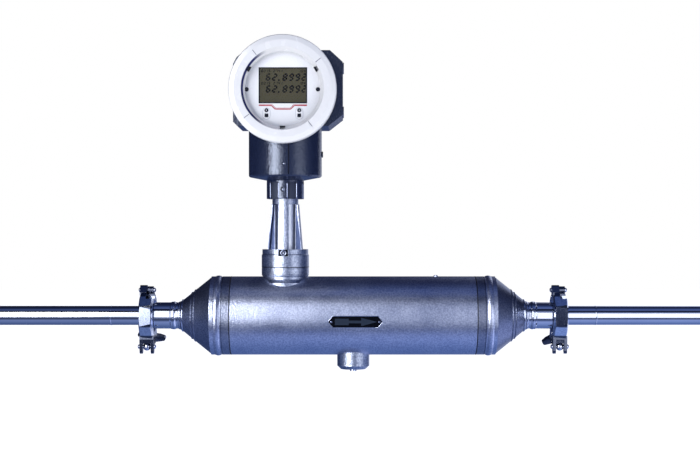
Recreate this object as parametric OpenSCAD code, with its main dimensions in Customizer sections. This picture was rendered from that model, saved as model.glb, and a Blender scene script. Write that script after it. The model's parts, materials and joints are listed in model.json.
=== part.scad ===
// Coriolis flow meter in a clamped stainless pipe run, with a raised transmitter head.
// X runs along the pipe in the direction of flow, Z is up, and the display faces -Y.
// The origin is the centre of the inlet pipe's open end. Millimetres.

/* [Pipework] */
// Length from the inlet pipe's open end to the outlet pipe's open end
overall_length = 960; // [900:1:1100]
// Outside diameter of the process pipes
pipe_od = 25.4; // [24:0.1:26]
// Wall thickness of the process pipes
pipe_wall = 1.65; // [1.2:0.05:2.2]
// Distance from the middle of the meter to the weld on each pipe ferrule
pipe_weld_x = 323; // [315:1:340]
// Distance from the middle of the meter to the middle of each gasket
clamp_x = 273.3; // [272:0.1:278]
// Outside diameter of the clamp ferrule flanges
ferrule_od = 50.5; // [50:0.1:51]
// Thickness of a ferrule flange at its rim
ferrule_rim = 2.85; // [2.5:0.05:3]
// Thickness of the ferrule gaskets
gasket_t = 1.8; // [1.4:0.1:2]

/* [Sensor body] */
// Outside diameter of the body shell
shell_od = 104; // [102:0.5:106]
// Wall thickness of the body shell
shell_wall = 3; // [2.5:0.1:4]
// Distance from the middle of the meter to the seam between shell and end ring
shell_half = 161; // [158:1:165]
// Distance from the middle of the meter to the outer face of the end ring
ring_half = 188; // [186:1:192]
// Distance from the middle of the meter to the small end of the end cone
cone_half = 225.5; // [224:0.5:227]
// Outside diameter of the neck between the end cone and the clamp
throat_od = 35; // [34:0.5:36]
// Outside diameter of the drain boss under the shell
boss_od = 42.8; // [40:0.2:46]
// Depth of the drain boss below the pipe axis
boss_depth = 70.9; // [68:0.1:74]

/* [Measuring tubes] */
// Outside diameter of the measuring tubes
tube_od = 15; // [14:0.1:15.4]
// Wall thickness of the measuring tubes
tube_wall = 1.5; // [1:0.1:2]
// Distance between the centre lines of the two tubes
tube_pitch = 30; // [29:0.5:31]
// Height of the tube roots above the pipe axis
tube_root_z = 16; // [14:0.5:17]
// Centre line radius of the tube bends
bend_r = 20; // [18:1:21]
// Length of the straight leg between two bends
leg_len = 6; // [2:1:8]

/* [Neck] */
// Distance from the middle of the meter to the neck axis, against the flow
neck_offset = 90.4; // [85:0.1:95]
// Outside diameter of the socket welded to the shell
socket_od = 62.8; // [60:0.2:64]
// Height of the socket's rim above the pipe axis
socket_top = 88; // [86:0.5:90]
// Width of the ribbed neck across its ribs at the foot
neck_foot_w = 47.4; // [46:0.2:48]
// Width of the ribbed neck across its ribs at the top
neck_top_w = 37; // [36:0.2:38]
// Height of the top of the ribs above the pipe axis
rib_top = 147.6; // [145:0.1:150]
// Diameter of the spigot that the head turns on
spigot_d = 34.6; // [34:0.1:35]

/* [Transmitter head] */
// Height of the underside of the swivel collar above the pipe axis
collar_z = 154.8; // [154:0.1:156]
// Diameter of the swivel collar over its lugs
collar_d = 49.4; // [48:0.1:50]
// Diameter of the round column under the housing
column_d = 97; // [94:0.5:99]
// Height of the display axis above the pipe axis
head_z = 293.7; // [290:0.1:296]
// Diameter of the white front cover ring
bezel_d = 138; // [136:0.5:140]
// Diameter of the front cover's opening
bezel_window_d = 106; // [104:0.5:107]
// Height of the top of the housing above the display axis
housing_top = 52.8; // [50:0.1:54]
// Depth of the foot of the housing below the display axis
housing_foot = 45.5; // [44:0.1:48]

/* [Display] */
// Width of the display window
lcd_w = 61; // [58:0.5:62]
// Height of the display window
lcd_h = 45; // [43:0.5:46]
// Height of the window's middle above the display axis
lcd_z = 5.2; // [3:0.1:6]
// Depth of the keys' middle below the display axis
key_z = 31; // [27:0.5:33]

/* [Clamps] */
// Width of a clamp along the pipe
clamp_w = 18.6; // [18:0.1:19]
// Height of the clamp's hinge pin above the pipe axis
hinge_z = 33.8; // [33.4:0.1:34.2]
// Depth of the swing bolt's pin below the pipe axis
bolt_pin_z = 40.8; // [40.4:0.1:41.2]
// Diameter of the swing bolt's shank
bolt_d = 6; // [5:0.1:6.4]
// Distance from a wing's tip to the axis of the wing nut
wing_r = 19; // [17:0.5:19.5]

/* [Hidden] */
$fn = 96;

steel = [0.55, 0.58, 0.68];
dark_steel = [0.30, 0.33, 0.45];
navy = [0.10, 0.12, 0.20];
white = [0.94, 0.94, 0.96];
big = 400;

mid_x = overall_length / 2;
pipe_r = pipe_od / 2;
pipe_bore_r = pipe_r - pipe_wall;
flange_r = ferrule_od / 2;
flange_tan = tan(20);
throat_r = throat_od / 2;
shell_r = shell_od / 2;
shell_bore_r = shell_r - shell_wall;
ring_bead_r = shell_r + 1.2;
cone_small_r = 21.2;
cone_wall = 3;
splitter_x = 162;
splitter_plate = 10;

tube_r = tube_od / 2;
tube_bore_r = tube_r - tube_wall;
tube_y = tube_pitch / 2;
root_x = 132;
tube_low_z = tube_root_z - 2 * bend_r - leg_len;
belly_x = root_x - 2 * bend_r;
pickup_x = belly_x - 12;

neck_x = mid_x - neck_offset;
socket_r = socket_od / 2;
socket_bore_r = 26;
spigot_r = spigot_d / 2;
spigot_top = 176;
collar_top = 179.3;
collar_r = collar_d / 2;
collar_bore_r = spigot_r + 0.06;
lug_turn = -5.8;
key_turn = -3;
rib_turn = -8;

column_r = column_d / 2;
column_z = 185.8;
mouth_r = 61;
mouth_z = 82;
rear_mouth_r = 58;
bezel_r = bezel_d / 2;
window_r = bezel_window_d / 2;
plate_z = 72.5;
plate_t = 1.6;
ring_front = 92;
glass_z = 77;
entry_places = [33, -25];
entry_y = -18;
entry_r = 6;

clamp_half = clamp_w / 2;
clamp_bore_r = 21;
clamp_gap = 0.4;
pin_r = 2.5;
pin_bore_r = pin_r + 0.05;
bolt_pin_y = -9;
bolt_tilt = 12;
fork_inner = 5.4;
knuckle_r = 5;
knuckle_w = 7.7;
web_z = 27;
lug_r = 6.6;
nose_r = 8;
nose_d = 41.5;
seat_gap = 0.7;
seat_r = nose_d - sqrt(nose_r * nose_r - fork_inner * fork_inner) - seat_gap;

// ---------- placing helpers ----------

// Draws about the middle of the meter, on the pipe axis
module at_middle() {
    translate([mid_x, 0, 0]) children();
}

// Draws an outlet end piece, or its mirror image at the inlet for side -1
module at_end(side) {
    at_middle() mirror([side < 0 ? 1 : 0, 0, 0]) children();
}

// Turns a profile of (radius, x) points about the pipe axis
module turn_about_x() {
    rotate([0, 90, 0]) rotate_extrude() children();
}

// Lays a cylinder along X, starting at x
module rod_x(r, x, length) {
    translate([x, 0, 0]) rotate([0, 90, 0]) cylinder(r = r, h = length);
}

// Draws about the neck axis, at the height of the pipe axis
module at_neck() {
    translate([neck_x, 0, 0]) children();
}

// Draws with Z pointing out of the display, from the middle of the head
module at_display() {
    translate([neck_x, 0, head_z]) rotate([90, 0, 0]) children();
}

// ---------- pipework ----------

module pipe(side) {
    length = mid_x - pipe_weld_x;
    color("silver") at_end(side) difference() {
        rod_x(pipe_r, pipe_weld_x, length);
        rod_x(pipe_bore_r, pipe_weld_x - 1, length + 2);
    }
}

// Ferrule butt-welded to a process pipe, with its weld bead
module pipe_ferrule(side) {
    face = clamp_x + gasket_t / 2;
    slope = (flange_r - pipe_r) * flange_tan;
    color("silver") at_end(side) difference() {
        union() {
            turn_about_x() polygon([
                [0, face], [flange_r, face], [flange_r, face + ferrule_rim],
                [pipe_r, face + ferrule_rim + slope], [pipe_r, pipe_weld_x], [0, pipe_weld_x]
            ]);
            turn_about_x() translate([pipe_r - 0.9, pipe_weld_x - 1.2]) circle(r = 1.2, $fn = 32);
        }
        rod_x(pipe_bore_r, face - 1, pipe_weld_x - face + 2);
    }
}

module gasket(side) {
    color("dimgray") at_end(side) difference() {
        rod_x(flange_r - 1, clamp_x - gasket_t / 2, gasket_t);
        rod_x(pipe_bore_r, clamp_x - gasket_t, 2 * gasket_t);
    }
}

// Short thick neck from the end cone to its ferrule flange, with a weld band
module throat(side) {
    face = clamp_x - gasket_t / 2;
    slope = (flange_r - throat_r) * flange_tan;
    inner_end = 205;
    band_x = 238.8;
    band = 3.8;
    color(steel) at_end(side) difference() {
        turn_about_x() polygon([
            [0, inner_end], [throat_r, inner_end],
            [throat_r, band_x - band], [throat_r + 0.8, band_x - band + 1.4],
            [throat_r + 0.8, band_x + band - 1.4], [throat_r, band_x + band],
            [throat_r, face - ferrule_rim - slope], [flange_r, face - ferrule_rim],
            [flange_r, face], [0, face]
        ]);
        rod_x(pipe_bore_r, inner_end - 1, face - inner_end + 2);
    }
}

// ---------- sensor body ----------

// Radius of the end cone's outside at a distance from the middle
function cone_r(x) =
    let (big_r = shell_r - 0.8)
    big_r - (big_r - cone_small_r) * (x - ring_half) / (cone_half - ring_half);

module end_cone(side) {
    bead_r = 1.1;
    color(dark_steel) at_end(side) {
        turn_about_x() polygon([
            [cone_r(ring_half), ring_half], [cone_small_r, cone_half],
            [cone_small_r - 1.2, cone_half + 1.9], [throat_r + 1.2, cone_half + 4],
            [throat_r, cone_half + 4], [throat_r, cone_half - 0.5],
            [cone_small_r - cone_wall, cone_half - 1.5], [cone_r(ring_half) - cone_wall - 1, ring_half]
        ]);
        for (x = [209.5, 213.7])
            turn_about_x() translate([cone_r(x) - 0.3, x]) circle(r = bead_r, $fn = 32);
    }
}

// Turned ring between shell and cone: an open seam, a groove and a proud rounded bead
module end_ring(side) {
    seam = 1;
    bead_w = 8;
    bead_end = 183;
    bead_start = bead_end - bead_w;
    sag = ring_bead_r - shell_r;
    arc_r = (bead_w * bead_w / 4 + sag * sag) / (2 * sag);
    color(steel) at_end(side) difference() {
        union() {
            rod_x(shell_r, shell_half + seam, ring_half - shell_half - seam);
            rod_x(shell_r - 1.2, shell_half, seam + 1);
            intersection() {
                turn_about_x() translate([ring_bead_r - arc_r, bead_end - bead_w / 2])
                    circle(r = arc_r, $fn = 180);
                rod_x(ring_bead_r + 1, bead_start, bead_w);
            }
        }
        rod_x(shell_bore_r, shell_half - 1, ring_half - shell_half + 2);
        turn_about_x() translate([shell_r, bead_start - 0.8]) square([1.8, 1.4], center = true);
    }
}

// Plain tube with openings for the neck and the drain, and a small capped test port on top
module body_shell() {
    port_x = 109.6;
    color(steel) at_middle() difference() {
        union() {
            rod_x(shell_r, -shell_half, 2 * shell_half);
            translate([port_x, 0, shell_r - 2]) cylinder(r = 2.8, h = 3);
            translate([port_x, 0, shell_r + 1]) cylinder(r1 = 2.8, r2 = 2, h = 0.6);
        }
        rod_x(shell_bore_r, -shell_half - 1, 2 * shell_half + 2);
        translate([-neck_offset, 0, 0]) cylinder(r = socket_bore_r, h = shell_r + 10);
        translate([0, 0, -shell_r - 10]) cylinder(r = 10, h = shell_r);
    }
}

// Drain boss welded under the shell: round, chamfered at the foot
module drain_boss() {
    boss_r = boss_od / 2;
    chamfer = 4.5;
    color("silver") at_middle() difference() {
        rotate_extrude() polygon([
            [0, -boss_depth], [boss_r - chamfer - 0.3, -boss_depth], [boss_r, -boss_depth + chamfer],
            [boss_r, -shell_r + 6.5], [boss_r + 2.2, -shell_r + 9], [boss_r + 2.2, -30], [0, -30]
        ]);
        rod_x(shell_r, -40, 80);
        translate([0, 0, -boss_depth - 1]) cylinder(r = 10, h = boss_depth);
    }
}

module drain_plug() {
    color("silver") at_middle() {
        translate([0, 0, -boss_depth]) cylinder(r = 10, h = 14);
        translate([0, 0, -boss_depth - 3]) cylinder(r = 4.3, h = 4);
        translate([0, 0, -boss_depth - 1]) cylinder(r = 7, h = 2);
    }
}

// Curved plate on the shell's front with an embossed arrow that points along the flow
module flow_arrow_plate() {
    plate_z = -5.6;
    half_h = 7.5;
    color([0.05, 0.05, 0.09]) at_middle() {
        curved_pad(shell_r, 0.8) polygon([
            [-33, plate_z], [-27, plate_z + half_h], [32, plate_z + half_h],
            [38, plate_z], [32, plate_z - half_h], [-27, plate_z - half_h]
        ]);
        curved_pad(shell_r + 0.8, 0.5) translate([0, plate_z]) polygon([
            [-24, 4.2], [-6, 4.2], [-6, 1.8], [10, 1.8], [10, 5.4], [31, 0],
            [10, -5.4], [10, -1.8], [-6, -1.8], [-6, -4.2], [-24, -4.2]
        ]);
    }
}

// Outline of (x, z) points laid on the front of a cylinder about the pipe axis
module curved_pad(r, t) {
    intersection() {
        rotate([90, 0, 0]) linear_extrude(height = big) children();
        difference() {
            rod_x(r + t, -60, 120);
            rod_x(r, -61, 122);
        }
    }
}

// ---------- measuring tubes ----------

// Solid rod along a measuring tube's centre line: two roots, four bends and a straight belly
module tube_path(r, root_end) {
    for (side = [0, 1])
        mirror([side, 0, 0]) {
            rod_z(tube_root_z) rod_x(r, root_x, root_end - root_x);
            translate([root_x, 0, tube_root_z - bend_r]) bend(r, 90);
            translate([root_x - bend_r, 0, tube_low_z + bend_r]) cylinder(r = r, h = leg_len);
            translate([belly_x, 0, tube_low_z + bend_r]) bend(r, 270);
        }
    rod_z(tube_low_z) rod_x(r, -belly_x, 2 * belly_x);
}

module rod_z(z) {
    translate([0, 0, z]) children();
}

// Quarter bend in the XZ plane that starts at the given angle
module bend(r, start) {
    rotate([90, 0, 0]) rotate_extrude(angle = 90, start = start) translate([bend_r, 0])
        circle(r = r, $fn = 48);
}

module measuring_tube(y) {
    root_end = splitter_x + 8;
    color("lightsteelblue") at_middle() translate([0, y, 0]) difference() {
        tube_path(tube_r, root_end);
        tube_path(tube_bore_r, root_end + 1);
    }
}

// Cast manifold that splits the flow into the two tubes
module flow_splitter(side) {
    plate_end = splitter_x + splitter_plate;
    neck_end = 205;
    run = [neck_end + 2 - splitter_x, tube_y, tube_root_z];
    color("lightsteelblue") at_end(side) difference() {
        turn_about_x() polygon([
            [0, splitter_x], [shell_bore_r, splitter_x], [shell_bore_r, plate_end],
            [31, plate_end], [throat_r, neck_end], [0, neck_end]
        ]);
        for (y = [-1, 1]) {
            translate([splitter_x - 1, y * tube_y, tube_root_z]) rotate([0, 90, 0])
                cylinder(r = tube_r, h = 9);
            translate([neck_end + 2, 0, 0])
                rotate([0, -90 + atan(tube_root_z / run.x), -y * atan(tube_y / run.x)])
                    cylinder(r = tube_bore_r, h = norm(run) - 4);
        }
    }
}

// Two plates that tie the tube roots together at one end
module brace_plates(side) {
    plate_t = 2.5;
    color("slategray") at_end(side) for (x = [138, 150])
        translate([x, 0, tube_root_z]) rotate([0, 90, 0]) linear_extrude(height = plate_t) difference() {
            union() {
                for (y = [-1, 1])
                    translate([0, y * tube_y]) circle(r = tube_r + 3.5);
                square([2 * tube_r + 1, 2 * tube_y], center = true);
            }
            for (y = [-1, 1])
                translate([0, y * tube_y]) circle(r = tube_r);
            circle(r = 4);
        }
}

// Saddle that grips a tube, reaching towards the other tube
module tube_saddle(y, w) {
    difference() {
        translate([-w / 2, min(sign(y) * 5.2, sign(y) * 12), -5]) cube([w, 6.8, 10]);
        translate([0, y, 0]) rod_x(tube_r, -w, 2 * w);
    }
}

// Wound coil on the rear tube
module coil(x, r) {
    color("peru") at_middle() translate([x, 0, tube_low_z]) difference() {
        union() {
            rotate([-90, 0, 0]) cylinder(r = r - 1, h = 5.2);
            rotate([-90, 0, 0]) cylinder(r = r, h = 1);
            translate([0, 4.4, 0]) rotate([-90, 0, 0]) cylinder(r = r, h = 1.2);
            tube_saddle(tube_y, 2 * r - 3);
        }
        rotate([90, 0, 0]) cylinder(r = 3.9, h = 9, center = true);
    }
}

// Magnet on the front tube, reaching into the coil
module magnet(x) {
    color("gainsboro") at_middle() translate([x, 0, tube_low_z]) {
        rotate([90, 0, 0]) translate([0, 0, -3.4]) cylinder(r = 3, h = 9);
        tube_saddle(-tube_y, 11);
    }
}

// Small capsule on a saddle, on top of the front tube's inlet root
module tube_temperature_sensor() {
    color("orange") at_middle() translate([-149, -tube_y, tube_root_z]) difference() {
        union() {
            translate([0, 0, tube_r + 1.7]) rod_x(1.6, 0, 8);
            translate([0, -2, tube_r - 1]) cube([8, 4, 2.6]);
        }
        rod_x(tube_r, -1, 10);
    }
}

// ---------- neck ----------

// Socket welded to the shell: two fine grooves, a stepped rim and a slot for the key screw
module neck_socket() {
    slot_w = 13.2;
    slot_d = 9;
    color("silver") at_neck() difference() {
        rotate_extrude() difference() {
            polygon([
                [socket_bore_r, 28], [socket_r + 2.5, 28], [socket_r + 2.5, 44], [socket_r - 1.6, 48.6],
                [socket_r - 1.6, 52], [socket_r, 54], [socket_r, socket_top - 7.4],
                [socket_r - 0.9, socket_top - 6.6], [socket_r - 0.9, socket_top],
                [socket_bore_r, socket_top]
            ]);
            for (z = [55.4, 63.6])
                translate([socket_r, z]) square([1, 0.7], center = true);
        }
        rod_x(shell_r, -60, 120);
        rotate(key_turn) translate([-slot_w / 2, -socket_r - 1, socket_top - slot_d])
            cube([slot_w, 8, slot_d + 1]);
    }
}

// Sealed lead-through that carries the coil wires out of the shell
module wire_feedthrough() {
    color("tan") at_neck() {
        translate([0, 0, 58]) cylinder(r = socket_bore_r, h = 5);
        for (a = [0:45:359])
            rotate(a) translate([12, 0, 50]) cylinder(r = 0.8, h = 22, $fn = 24);
    }
}

module neck_key_screw() {
    screw_z = socket_top - 4.6;
    color("silver") at_neck() rotate(key_turn) translate([0, -socket_bore_r + 1, screw_z])
        rotate([90, 0, 0]) difference() {
        cylinder(r = 4.2, h = 5, $fn = 6);
        translate([0, 0, 3.4]) cylinder(r = 2, h = 3, $fn = 6);
    }
}

// Cast neck: a tube with four tapering ribs, each with a cap along its edge
module ribbed_neck() {
    foot = socket_top - 9;
    rib_t = 3;
    cap_w = 12;
    cap_t = 2;
    color("silver") at_neck() difference() {
        union() {
            translate([0, 0, foot]) cylinder(r = socket_bore_r, h = 8.6);
            translate([0, 0, foot]) cylinder(r = 13.7, h = rib_top - foot);
            intersection() {
                rib_cone(0);
                rib_slabs(rib_t);
            }
            intersection() {
                difference() {
                    rib_cone(0);
                    rib_cone(cap_t);
                }
                rib_slabs(cap_w);
            }
            translate([0, 0, rib_top]) cylinder(r = spigot_r, h = spigot_top - rib_top);
        }
        translate([0, 0, foot - 1]) cylinder(r = 9, h = spigot_top - foot + 2);
        rotate(key_turn) translate([-7, -socket_bore_r - 1, foot - 1]) cube([14, 5, 9.6]);
    }
}

module rib_cone(inset) {
    foot = socket_top - 2;
    height = rib_top - foot;
    translate([0, 0, foot]) cylinder(r1 = neck_foot_w / 2 - inset, r2 = neck_top_w / 2 - inset, h = height);
}

module rib_slabs(w) {
    for (a = [rib_turn, rib_turn + 90])
        rotate(a) translate([-30, -w / 2, socket_top - 3]) cube([60, w, rib_top - socket_top + 4]);
}

// ---------- clamps ----------

// Grooved ring about the pipe axis with sloping flanks, and eight flats with a casting draft
module clamp_ring() {
    outer_r = 33.4;
    crown_w = 14;
    flank_r = 27.5;
    wall_x = gasket_t / 2 + ferrule_rim + 0.35;
    groove_r = flange_r + 0.6;
    foot_x = wall_x + (flange_r - clamp_bore_r) * flange_tan;
    intersection() {
        turn_about_x() polygon([
            [clamp_bore_r, -clamp_half], [flank_r, -clamp_half], [outer_r, -crown_w / 2],
            [outer_r, crown_w / 2], [flank_r, clamp_half], [clamp_bore_r, clamp_half],
            [clamp_bore_r, foot_x], [groove_r, wall_x - 0.2],
            [groove_r, -wall_x + 0.2], [clamp_bore_r, -foot_x]
        ]);
        rotate([0, 90, 0]) rotate([0, 0, 22.5])
            cylinder(r1 = 33.1, r2 = 34.9, h = clamp_w + 2, center = true, $fn = 8);
    }
}

// Front half: leaning hinge lug on the inlet side at the top, fork for the swing bolt at the foot
module clamp_front(side) {
    lug_x = -0.3;
    color(dark_steel) at_clamp(side) difference() {
        union() {
            intersection() {
                clamp_ring();
                translate([-clamp_half, -big - clamp_gap, -big / 2]) cube([clamp_w, big, big]);
            }
            at_hinge() rod_x(lug_r, -clamp_half, clamp_half + lug_x);
            translate([-clamp_half, 0, 0]) rotate([90, 0, 90]) linear_extrude(height = clamp_half + lug_x)
                polygon([
                [-clamp_gap, web_z], [-12.8, web_z], [-12.8, 31], [-7.2, hinge_z + 5.2],
                [-5.4, hinge_z + lug_r], [0, hinge_z + lug_r], [0, 32.5], [-clamp_gap, 32.5]
            ]);
            for (x = [-clamp_half, fork_inner])
                translate([x, 0, 0]) fork_leg();
            translate([-clamp_half, 0, 0]) rotate([90, 0, 90]) linear_extrude(height = clamp_w) fork_root();
        }
        translate([lug_x, -big / 2, 22.9]) cube([big, big, big]);
        at_hinge() rod_x(pin_r, -clamp_half - 1, clamp_w);
        at_bolt_pin() {
            rod_x(pin_r, -clamp_half - 1, clamp_w + 2);
            rod_x(5.8, -fork_inner, 2 * fork_inner);
        }
    }
}

// Side outline of the block that joins the fork legs to the ring
module fork_root() {
    polygon([
        [bolt_pin_y + 5, -26.4], [bolt_pin_y + 5, -36.4], [bolt_pin_y - 5.6, -36.4],
        [bolt_pin_y - 6.6, -31], [bolt_pin_y - 6.6, -26.4]
    ]);
}

// One fork leg: its front leans back to a rounded foot
module fork_leg() {
    w = clamp_half - fork_inner;
    foot_z = -45.2;
    rotate([90, 0, 90]) linear_extrude(height = w) polygon([
        [bolt_pin_y + 5, -29.2], [bolt_pin_y + 5, foot_z], [bolt_pin_y - 5, foot_z],
        [bolt_pin_y - 6.6, -31], [bolt_pin_y - 6.6, -29.2]
    ]);
    translate([0, bolt_pin_y, foot_z]) rod_x(5, 0, w);
}

// Rear half: hinge knuckle on the outlet side at the top, open fork under the wing nut
module clamp_rear(side) {
    color(dark_steel) at_clamp(side) difference() {
        union() {
            intersection() {
                clamp_ring();
                translate([-clamp_half, clamp_gap, -big / 2]) cube([clamp_w, big, big]);
            }
            at_hinge() rod_x(knuckle_r, 0.1, knuckle_w);
            translate([0.1, clamp_gap, web_z]) cube([knuckle_w, knuckle_r - clamp_gap, hinge_z - web_z]);
            for (x = [-clamp_half, fork_inner])
                intersection() {
                    translate([x, 0, 0]) rotate([90, 0, 90])
                        linear_extrude(height = clamp_half - fork_inner) rear_fork();
                    at_bolt_pin() rod_x(seat_r, -clamp_w, 2 * clamp_w);
                }
        }
        at_hinge() rod_x(pin_bore_r, -clamp_w, 2 * clamp_w);
        at_hinge() rod_x(lug_r + 0.5, -clamp_w, clamp_w + 0.1);
    }
}

// Side outline of a rear fork arm, which ends along the swing bolt's axis
module rear_fork() {
    near = 4;
    far = 32;
    polygon([
        [near, -bolt_pin_z + (near - bolt_pin_y) * tan(bolt_tilt)],
        [far, -bolt_pin_z + (far - bolt_pin_y) * tan(bolt_tilt)],
        [far, -14], [near, -26]
    ]);
}

module at_clamp(side) {
    translate([mid_x + side * clamp_x, 0, 0]) children();
}

module at_hinge() {
    translate([0, 0, hinge_z]) children();
}

module at_bolt_pin() {
    translate([0, bolt_pin_y, -bolt_pin_z]) children();
}

// Draws with Z along the swing bolt, from its pin
module along_bolt(side) {
    at_clamp(side) at_bolt_pin() rotate([bolt_tilt - 90, 0, 0]) children();
}

module clamp_hinge_pins() {
    color("silver") for (side = [-1, 1])
        at_clamp(side) at_hinge() {
            rod_x(pin_r, -clamp_half, clamp_half + knuckle_w + 0.4);
            pin_head(-1, clamp_half);
            pin_head(1, knuckle_w + 0.4);
        }
}

module clamp_bolt_pins() {
    color("silver") for (side = [-1, 1])
        at_clamp(side) at_bolt_pin() {
            rod_x(pin_r, -clamp_half, clamp_w);
            pin_head(-1, clamp_half);
            pin_head(1, clamp_half);
        }
}

// Chamfered rivet head that faces along X in the given direction
module pin_head(way, x) {
    mirror([way < 0 ? 1 : 0, 0, 0]) translate([x, 0, 0]) rotate([0, 90, 0]) {
        cylinder(r = 3, h = 1.5);
        translate([0, 0, 1.5]) cylinder(r1 = 3, r2 = 1.9, h = 1.2);
    }
}

module swing_bolt(side) {
    eye_r = 5.3;
    plain_len = 20;
    color("silver") along_bolt(side) difference() {
        union() {
            intersection() {
                sphere(r = eye_r, $fn = 64);
                cube([9.6, 12, 12], center = true);
            }
            cylinder(r = bolt_d / 2, h = plain_len);
            cylinder(r = bolt_d / 2 - 0.35, h = 57.4);
        }
        rotate([0, 90, 0]) cylinder(r = pin_bore_r, h = 12, center = true);
    }
}

// Wing nut with a round nose that seats on the rear fork
module wing_nut(side, turn) {
    wing_top = 57;
    color("silver") along_bolt(side) rotate(turn) difference() {
        union() {
            intersection() {
                translate([0, 0, nose_d]) sphere(r = nose_r, $fn = 96);
                cylinder(r = nose_r, h = nose_d + 1);
            }
            translate([0, 0, nose_d]) cylinder(r = nose_r, h = 3);
            translate([0, 0, nose_d + 3]) cylinder(r1 = nose_r, r2 = 6, h = 7);
            intersection() {
                translate([0, 0, nose_d]) linear_extrude(height = 18) wings();
                rotate_extrude() polygon([
                    [0, nose_d + 1], [nose_r - 0.5, nose_d + 1], [wing_r + 1, wing_top - 9.4],
                    [wing_r + 1, wing_top], [wing_r - 7, wing_top - 0.6],
                    [nose_r - 3, wing_top - 8], [0, wing_top - 8]
                ]);
            }
        }
        cylinder(r = bolt_d / 2 + 0.05, h = 80);
    }
}

// Both wings seen along the bolt: wide at the boss and rounded at the tips
module wings() {
    tip_r = 3;
    for (way = [-1, 1]) {
        translate([way * (wing_r - tip_r), 0]) circle(r = tip_r, $fn = 48);
        polygon([[0, -6.4], [way * (wing_r - tip_r), -tip_r], [way * (wing_r - tip_r), tip_r], [0, 6.4]]);
    }
}

// ---------- transmitter head ----------

// Collar that clamps the head to the spigot: six lugs with gaps between them
module swivel_collar() {
    root_r = 21.6;
    gap = 30;
    color(navy) at_neck() difference() {
        translate([0, 0, collar_z]) cylinder(r = collar_r, h = collar_top - collar_z);
        translate([0, 0, collar_z - 1]) cylinder(r = collar_bore_r, h = collar_top - collar_z + 2);
        for (i = [0:5])
            translate([0, 0, collar_z - 1])
                rotate_extrude(angle = gap, start = -90 + lug_turn + gap / 2 + 60 * i)
                    translate([root_r, 0]) square([collar_r - root_r + 1, collar_top - collar_z - 1]);
        rotate(lug_turn) translate([0, -collar_r - 1, collar_z + 12.4])
            rotate([-90, 0, 0]) cylinder(r = 2.5, h = 8);
    }
}

module collar_set_screw() {
    color("silver") at_neck() rotate(lug_turn)
        translate([0, -spigot_r - 0.4, collar_z + 12.4]) rotate([90, 0, 0]) difference() {
            cylinder(r = 2.5, h = 6.4);
            translate([0, 0, 4]) cylinder(r = 1.4, h = 3, $fn = 6);
        }
}

// Outline of the housing's eight-sided middle, seen from the front
module housing_outline() {
    polygon([
        [-60, -housing_foot], [58, -housing_foot], [76.5, -31], [76.5, 37.6], [60, housing_top],
        [-50, housing_top], [-61, 43.5], [-65.5, 35], [-65.5, -housing_foot + 5.5]
    ]);
}

// Cast housing: a column on a shallow cone, an eight-sided middle and a round mouth at each end
module head_housing() {
    back = 44;
    color(navy) difference() {
        union() {
            at_neck() rotate_extrude() polygon([
                [0, collar_top], [collar_r, collar_top],
                [column_r - 2.6, column_z - 2.4], [column_r - 1, column_z - 1.8],
                [column_r, column_z], [column_r, head_z - 20], [0, head_z - 20]
            ]);
            at_display() {
                translate([0, 0, -back]) linear_extrude(height = back + 54) housing_outline();
                translate([0, 0, 46]) cylinder(r = 66.5, h = mouth_z - 18 - 46);
                cylinder(r = mouth_r, h = mouth_z);
                translate([0, 0, -56]) cylinder(r = 63, h = 56);
                translate([0, 0, -70]) cylinder(r = rear_mouth_r, h = 40);
            }
        }
        at_neck() {
            translate([0, 0, collar_top - 1]) cylinder(r = spigot_r - 2.3, h = 20);
            translate([0, 0, 194]) cylinder(r = column_r - 6, h = head_z - 234);
        }
        at_display() {
            translate([0, 0, 10]) cylinder(r = 56, h = mouth_z);
            translate([0, 0, -80]) cylinder(r = 53, h = 72);
            for (z = entry_places)
                translate([0, z, -entry_y]) rod_x(entry_r, 40, 60);
        }
        at_front_screw() cylinder(r = 2.2, h = 16, center = true);
        at_side_screw() cylinder(r = 3, h = 16, center = true);
    }
}

module at_front_screw() {
    translate([neck_x, -column_r, 200]) rotate([90, 0, 0]) children();
}

module at_side_screw() {
    translate([neck_x + column_r, 0, 214]) rotate([0, 90, 0]) children();
}

// Flush locking screw in front and headed earth screw at the side of the column
module housing_screws() {
    color("silver") {
        at_front_screw() difference() {
            translate([0, 0, -6]) cylinder(r = 2.2, h = 5.6);
            translate([0, 0, -3]) cylinder(r = 1.2, h = 4, $fn = 6);
        }
        at_side_screw() difference() {
            union() {
                translate([0, 0, -6]) cylinder(r = 3, h = 6.2);
                translate([0, 0, 0.1]) cylinder(r = 4, h = 1.5);
            }
            cylinder(r = 1.6, h = 4, $fn = 6);
        }
    }
}

// Blanking plugs in the two conduit entries
module conduit_plugs() {
    face = 76.5;
    color("gray") at_display() for (z = entry_places)
        translate([0, z, -entry_y]) difference() {
            union() {
                rod_x(entry_r, face - 12, 12);
                rod_x(7.6, face, 1.4);
            }
            translate([face - 3, 0, 0]) rotate([0, 90, 0]) cylinder(r = 3.4, h = 6, $fn = 6);
        }
}

// Seal rings behind the front and rear covers
module cover_seals() {
    cord_r = 1.7;
    color([0.1, 0.1, 0.1]) at_display() {
        translate([0, 0, mouth_z - 18 + cord_r]) rotate_extrude() translate([mouth_r + cord_r, 0])
            circle(r = cord_r, $fn = 32);
        translate([0, 0, -56 - cord_r]) rotate_extrude() translate([rear_mouth_r + cord_r, 0])
            circle(r = cord_r, $fn = 32);
    }
}

// ---------- display and electronics ----------

module display_plate() {
    color(white) at_display() translate([0, 0, plate_z]) difference() {
        cylinder(r = 55.8, h = plate_t);
        translate([-lcd_w / 2, lcd_z - lcd_h / 2, -1]) cube([lcd_w, lcd_h, 4]);
    }
}

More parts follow.
